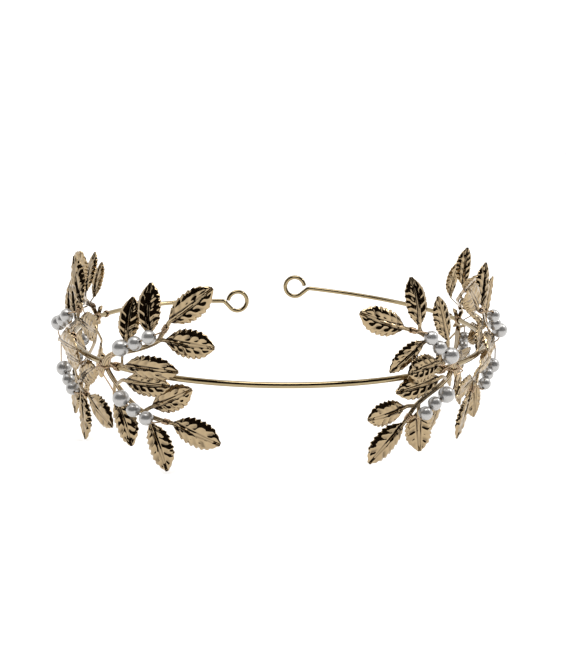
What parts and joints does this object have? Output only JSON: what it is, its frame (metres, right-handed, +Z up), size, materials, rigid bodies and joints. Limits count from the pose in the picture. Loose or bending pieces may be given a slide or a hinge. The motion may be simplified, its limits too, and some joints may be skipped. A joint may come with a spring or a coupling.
{
  "type": "bridal tiara",
  "caption": "Open-backed wire hoop tiara with stamped leaf sprigs and threaded imitation pearls round both sides, and an eyelet at each end for a tie ribbon.",
  "frame": {"origin": "centre of the hoop's circle, in the plane of the band", "axes": "+Z up as worn, front of the tiara at -Y, the open back with the eyelets at +Y, the wearer's left side at +X"},
  "size_m": [0.1704, 0.162, 0.0665],
  "materials": {
    "hoop_wire": "polished champagne gold plating",
    "leaf_metal": "polished champagne gold plating on stamped sheet",
    "binding_wire": "polished rose gold craft wire",
    "pearl": "satin pearl lacquer"
  },
  "bodies": {
    "tiara": {"hoop_wire": "hoop_wire", "left_front_upper_sprig": "leaf_metal", "left_front_lower_sprig": "leaf_metal", "left_front_binding_wire": "binding_wire", "left_side_upper_sprig": "leaf_metal", "left_side_lower_sprig": "leaf_metal", "left_side_binding_wire": "binding_wire", "left_back_upper_sprig": "leaf_metal", "left_back_lower_sprig": "leaf_metal", "left_back_binding_wire": "binding_wire", "right_front_upper_sprig": "leaf_metal", "right_front_lower_sprig": "leaf_metal", "right_front_binding_wire": "binding_wire", "right_side_upper_sprig": "leaf_metal", "right_side_lower_sprig": "leaf_metal", "right_side_binding_wire": "binding_wire", "right_back_upper_sprig": "leaf_metal", "right_back_lower_sprig": "leaf_metal", "right_back_binding_wire": "binding_wire"},
    "left_front_upper_pearl_1": {"left_front_upper_pearl_1": "pearl"},
    "left_front_upper_pearl_2": {"left_front_upper_pearl_2": "pearl"},
    "left_front_upper_pearl_3": {"left_front_upper_pearl_3": "pearl"},
    "left_front_lower_pearl_1": {"left_front_lower_pearl_1": "pearl"},
    "left_front_lower_pearl_2": {"left_front_lower_pearl_2": "pearl"},
    "left_front_lower_pearl_3": {"left_front_lower_pearl_3": "pearl"},
    "left_side_upper_pearl_1": {"left_side_upper_pearl_1": "pearl"},
    "left_side_upper_pearl_2": {"left_side_upper_pearl_2": "pearl"},
    "left_side_upper_pearl_3": {"left_side_upper_pearl_3": "pearl"},
    "left_side_lower_pearl_1": {"left_side_lower_pearl_1": "pearl"},
    "left_side_lower_pearl_2": {"left_side_lower_pearl_2": "pearl"},
    "left_side_lower_pearl_3": {"left_side_lower_pearl_3": "pearl"},
    "left_back_upper_pearl_1": {"left_back_upper_pearl_1": "pearl"},
    "left_back_upper_pearl_2": {"left_back_upper_pearl_2": "pearl"},
    "left_back_upper_pearl_3": {"left_back_upper_pearl_3": "pearl"},
    "left_back_lower_pearl_1": {"left_back_lower_pearl_1": "pearl"},
    "left_back_lower_pearl_2": {"left_back_lower_pearl_2": "pearl"},
    "left_back_lower_pearl_3": {"left_back_lower_pearl_3": "pearl"},
    "right_front_upper_pearl_1": {"right_front_upper_pearl_1": "pearl"},
    "right_front_upper_pearl_2": {"right_front_upper_pearl_2": "pearl"},
    "right_front_upper_pearl_3": {"right_front_upper_pearl_3": "pearl"},
    "right_front_lower_pearl_1": {"right_front_lower_pearl_1": "pearl"},
    "right_front_lower_pearl_2": {"right_front_lower_pearl_2": "pearl"},
    "right_front_lower_pearl_3": {"right_front_lower_pearl_3": "pearl"},
    "right_side_upper_pearl_1": {"right_side_upper_pearl_1": "pearl"},
    "right_side_upper_pearl_2": {"right_side_upper_pearl_2": "pearl"},
    "right_side_upper_pearl_3": {"right_side_upper_pearl_3": "pearl"},
    "right_side_lower_pearl_1": {"right_side_lower_pearl_1": "pearl"},
    "right_side_lower_pearl_2": {"right_side_lower_pearl_2": "pearl"},
    "right_side_lower_pearl_3": {"right_side_lower_pearl_3": "pearl"},
    "right_back_upper_pearl_1": {"right_back_upper_pearl_1": "pearl"},
    "right_back_upper_pearl_2": {"right_back_upper_pearl_2": "pearl"},
    "right_back_upper_pearl_3": {"right_back_upper_pearl_3": "pearl"},
    "right_back_lower_pearl_1": {"right_back_lower_pearl_1": "pearl"},
    "right_back_lower_pearl_2": {"right_back_lower_pearl_2": "pearl"},
    "right_back_lower_pearl_3": {"right_back_lower_pearl_3": "pearl"}
  },
  "joints": [
    {"name": "left_front_upper_pearl_1_spin", "type": "hinge", "parent": "tiara", "child": "left_front_upper_pearl_1", "pos_m": [-0.05119, -0.06923, 0.0089], "axis": [0.7866, -0.5046, 0.3559], "continuous": true},
    {"name": "left_front_upper_pearl_2_spin", "type": "hinge", "parent": "tiara", "child": "left_front_upper_pearl_2", "pos_m": [-0.046, -0.07231, 0.0112], "axis": [0.7936, -0.4672, 0.3898], "continuous": true},
    {"name": "left_front_upper_pearl_3_spin", "type": "hinge", "parent": "tiara", "child": "left_front_upper_pearl_3", "pos_m": [-0.04121, -0.07514, 0.0138], "axis": [0.7945, -0.4357, 0.4229], "continuous": true},
    {"name": "left_front_lower_pearl_1_spin", "type": "hinge", "parent": "tiara", "child": "left_front_lower_pearl_1", "pos_m": [-0.05187, -0.06696, -0.0086], "axis": [0.7199, -0.4282, -0.5462], "continuous": true},
    {"name": "left_front_lower_pearl_2_spin", "type": "hinge", "parent": "tiara", "child": "left_front_lower_pearl_2", "pos_m": [-0.0476, -0.06933, -0.0118], "axis": [0.7706, -0.4547, -0.4465], "continuous": true},
    {"name": "left_front_lower_pearl_3_spin", "type": "hinge", "parent": "tiara", "child": "left_front_lower_pearl_3", "pos_m": [-0.04303, -0.07214, -0.0137], "axis": [0.8183, -0.4676, -0.3343], "continuous": true},
    {"name": "left_side_upper_pearl_1_spin", "type": "hinge", "parent": "tiara", "child": "left_side_upper_pearl_1", "pos_m": [-0.07969, -0.03143, 0.0089], "axis": [0.4317, -0.8286, 0.3564], "continuous": true},
    {"name": "left_side_upper_pearl_2_spin", "type": "hinge", "parent": "tiara", "child": "left_side_upper_pearl_2", "pos_m": [-0.07683, -0.0367, 0.0112], "axis": [0.4252, -0.8158, 0.3919], "continuous": true},
    {"name": "left_side_upper_pearl_3_spin", "type": "hinge", "parent": "tiara", "child": "left_side_upper_pearl_3", "pos_m": [-0.07429, -0.04162, 0.0138], "axis": [0.4424, -0.7896, 0.4252], "continuous": true},
    {"name": "left_side_lower_pearl_1_spin", "type": "hinge", "parent": "tiara", "child": "left_side_lower_pearl_1", "pos_m": [-0.07909, -0.02915, -0.0086], "axis": [0.4319, -0.7193, -0.5442], "continuous": true},
    {"name": "left_side_lower_pearl_2_spin", "type": "hinge", "parent": "tiara", "child": "left_side_lower_pearl_2", "pos_m": [-0.0766, -0.03335, -0.0118], "axis": [0.4124, -0.7928, -0.4488], "continuous": true},
    {"name": "left_side_lower_pearl_3_spin", "type": "hinge", "parent": "tiara", "child": "left_side_lower_pearl_3", "pos_m": [-0.07423, -0.03812, -0.0137], "axis": [0.4459, -0.8295, -0.3363], "continuous": true},
    {"name": "left_back_upper_pearl_1_spin", "type": "hinge", "parent": "tiara", "child": "left_back_upper_pearl_1", "pos_m": [-0.08164, 0.01509, 0.0089], "axis": [0.1401, -0.926, 0.3507], "continuous": true},
    {"name": "left_back_upper_pearl_2_spin", "type": "hinge", "parent": "tiara", "child": "left_back_upper_pearl_2", "pos_m": [-0.08133, 0.00922, 0.0112], "axis": [-0.07, -0.9116, 0.4052], "continuous": true},
    {"name": "left_back_upper_pearl_3_spin", "type": "hinge", "parent": "tiara", "child": "left_back_upper_pearl_3", "pos_m": [-0.08176, 0.00391, 0.0138], "axis": [-0.043, -0.8974, 0.4391], "continuous": true},
    {"name": "left_back_lower_pearl_1_spin", "type": "hinge", "parent": "tiara", "child": "left_back_lower_pearl_1", "pos_m": [-0.08172, 0.01702, -0.0086], "axis": [0.0919, -0.8401, -0.5346], "continuous": true},
    {"name": "left_back_lower_pearl_2_spin", "type": "hinge", "parent": "tiara", "child": "left_back_lower_pearl_2", "pos_m": [-0.08155, 0.01214, -0.0118], "axis": [-0.0694, -0.8885, -0.4536], "continuous": true},
    {"name": "left_back_lower_pearl_3_spin", "type": "hinge", "parent": "tiara", "child": "left_back_lower_pearl_3", "pos_m": [-0.08206, 0.00692, -0.0137], "axis": [-0.0611, -0.9383, -0.3403], "continuous": true},
    {"name": "right_front_upper_pearl_1_spin", "type": "hinge", "parent": "tiara", "child": "right_front_upper_pearl_1", "pos_m": [0.05554, -0.06605, 0.0065], "axis": [-0.6923, -0.4745, 0.5437], "continuous": true},
    {"name": "right_front_upper_pearl_2_spin", "type": "hinge", "parent": "tiara", "child": "right_front_upper_pearl_2", "pos_m": [0.05127, -0.0688, 0.0098], "axis": [-0.6587, -0.4363, 0.613], "continuous": true},
    {"name": "right_front_upper_pearl_3_spin", "type": "hinge", "parent": "tiara", "child": "right_front_upper_pearl_3", "pos_m": [0.04803, -0.0711, 0.0135], "axis": [-0.6061, -0.4094, 0.682], "continuous": true},
    {"name": "right_front_lower_pearl_1_spin", "type": "hinge", "parent": "tiara", "child": "right_front_lower_pearl_1", "pos_m": [0.05525, -0.06407, -0.0073], "axis": [-0.7508, -0.5286, -0.3961], "continuous": true},
    {"name": "right_front_lower_pearl_2_spin", "type": "hinge", "parent": "tiara", "child": "right_front_lower_pearl_2", "pos_m": [0.051, -0.06687, -0.0095], "axis": [-0.7332, -0.486, -0.4757], "continuous": true},
    {"name": "right_front_lower_pearl_3_spin", "type": "hinge", "parent": "tiara", "child": "right_front_lower_pearl_3", "pos_m": [0.04772, -0.06913, -0.0122], "axis": [-0.6932, -0.4533, -0.5603], "continuous": true},
    {"name": "right_side_upper_pearl_1_spin", "type": "hinge", "parent": "tiara", "child": "right_side_upper_pearl_1", "pos_m": [0.08153, -0.0264, 0.0065], "axis": [-0.4787, -0.6984, 0.5321], "continuous": true},
    {"name": "right_side_upper_pearl_2_spin", "type": "hinge", "parent": "tiara", "child": "right_side_upper_pearl_2", "pos_m": [0.07845, -0.0306, 0.0098], "axis": [-0.4341, -0.6611, 0.612], "continuous": true},
    {"name": "right_side_upper_pearl_3_spin", "type": "hinge", "parent": "tiara", "child": "right_side_upper_pearl_3", "pos_m": [0.0769, -0.03417, 0.0135], "axis": [-0.2943, -0.6623, 0.689], "continuous": true},
    {"name": "right_side_lower_pearl_1_spin", "type": "hinge", "parent": "tiara", "child": "right_side_lower_pearl_1", "pos_m": [0.08, -0.02481, -0.0073], "axis": [-0.463, -0.7948, -0.3924], "continuous": true},
    {"name": "right_side_lower_pearl_2_spin", "type": "hinge", "parent": "tiara", "child": "right_side_lower_pearl_2", "pos_m": [0.07729, -0.02915, -0.0095], "axis": [-0.4898, -0.7321, -0.4734], "continuous": true},
    {"name": "right_side_lower_pearl_3_spin", "type": "hinge", "parent": "tiara", "child": "right_side_lower_pearl_3", "pos_m": [0.07558, -0.03269, -0.0122], "axis": [-0.3459, -0.7469, -0.5679], "continuous": true},
    {"name": "right_back_upper_pearl_1_spin", "type": "hinge", "parent": "tiara", "child": "right_back_upper_pearl_1", "pos_m": [0.08178, 0.02048, 0.00651], "axis": [-0.3521, -0.8122, 0.4651], "continuous": true},
    {"name": "right_back_upper_pearl_2_spin", "type": "hinge", "parent": "tiara", "child": "right_back_upper_pearl_2", "pos_m": [0.0791, 0.01493, 0.0098], "axis": [-0.2835, -0.7656, 0.5774], "continuous": true},
    {"name": "right_back_upper_pearl_3_spin", "type": "hinge", "parent": "tiara", "child": "right_back_upper_pearl_3", "pos_m": [0.07951, 0.01123, 0.0135], "axis": [0.0991, -0.7015, 0.7058], "continuous": true},
    {"name": "right_back_lower_pearl_1_spin", "type": "hinge", "parent": "tiara", "child": "right_back_lower_pearl_1", "pos_m": [0.0791, 0.02086, -0.00728], "axis": [-0.2255, -0.9016, -0.3691], "continuous": true},
    {"name": "right_back_lower_pearl_2_spin", "type": "hinge", "parent": "tiara", "child": "right_back_lower_pearl_2", "pos_m": [0.07756, 0.01555, -0.0095], "axis": [-0.3306, -0.8368, -0.4365], "continuous": true},
    {"name": "right_back_lower_pearl_3_spin", "type": "hinge", "parent": "tiara", "child": "right_back_lower_pearl_3", "pos_m": [0.07761, 0.01176, -0.0122], "axis": [0.0998, -0.8039, -0.5864], "continuous": true}
  ]
}
